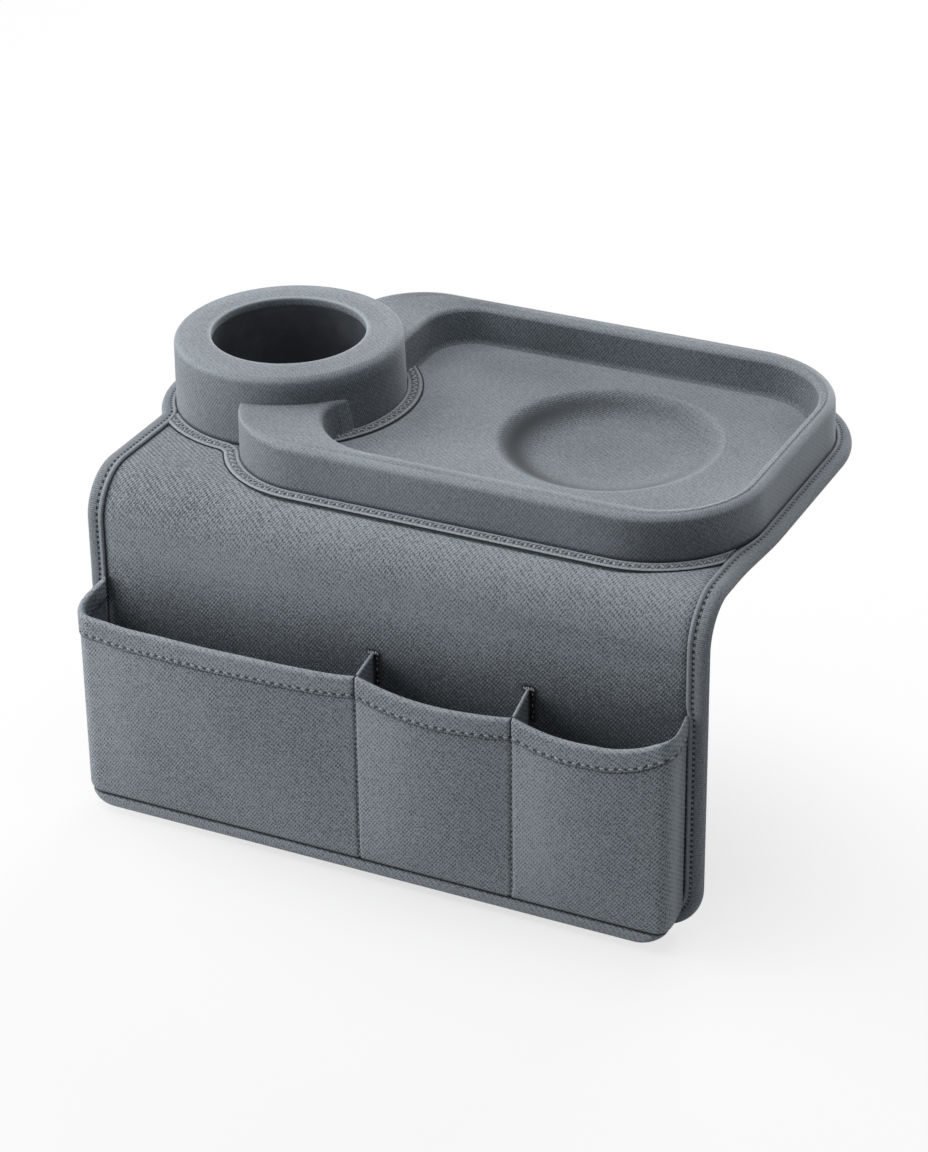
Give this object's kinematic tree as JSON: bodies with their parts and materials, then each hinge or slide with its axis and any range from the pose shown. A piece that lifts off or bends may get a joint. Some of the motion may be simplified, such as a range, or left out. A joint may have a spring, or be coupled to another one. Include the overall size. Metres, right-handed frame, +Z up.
{
  "type": "sofa arm tray",
  "caption": "Padded cloth tray for a sofa arm: rounded tray with a dish and a raised cup drum on a panel that bends down into a pocketed flap.",
  "frame": {"origin": "on the underside of the top panel, below the middle of the tray moulding", "axes": "+X along the sofa arm from the cup drum to the far end, +Y across the arm and away from the flap, +Z up"},
  "size_m": [0.3543, 0.2606, 0.2179],
  "materials": {
    "twill": "fine grey twill cloth, matt",
    "foam": "dark closed-cell foam, inside the part",
    "liner": "black moulded cup liner, satin",
    "lining": "dark grippy lining cloth",
    "tape": "grey woven edge tape",
    "thread": "light grey sewing thread"
  },
  "bodies": {
    "saddle": {"tray_shell": "twill", "rim_core": "foam", "floor_core": "foam", "drum_shell": "twill", "drum_core": "foam", "cup_liner": "liner", "tray_tape": "tape", "drum_tape": "tape", "tray_tape_thread": "thread", "drum_tape_thread": "thread", "top_face": "twill", "top_foam": "foam", "top_lining": "lining", "top_binding": "tape", "top_binding_thread": "thread", "bend_face": "twill", "bend_foam": "foam", "bend_lining": "lining", "bend_binding": "tape", "bend_binding_thread": "thread"},
    "flap": {"flap_face": "twill", "flap_foam": "foam", "flap_lining": "lining", "flap_binding": "tape", "flap_binding_thread": "thread", "pocket_front": "twill", "pocket_hem": "twill", "pocket_divider_left": "twill", "pocket_divider_right": "twill", "pocket_floor": "twill", "hem_thread": "thread", "divider_thread": "thread", "bar_tacks": "thread"}
  },
  "joints": [
    {"name": "flap_fold", "type": "hinge", "parent": "saddle", "child": "flap", "pos_m": [0, -0.1, -0.02], "axis": [1, 0, 0], "range_deg": [-88, 90], "deforming": ["bend_face", "bend_foam", "bend_lining", "bend_binding", "bend_binding_thread"]}
  ]
}
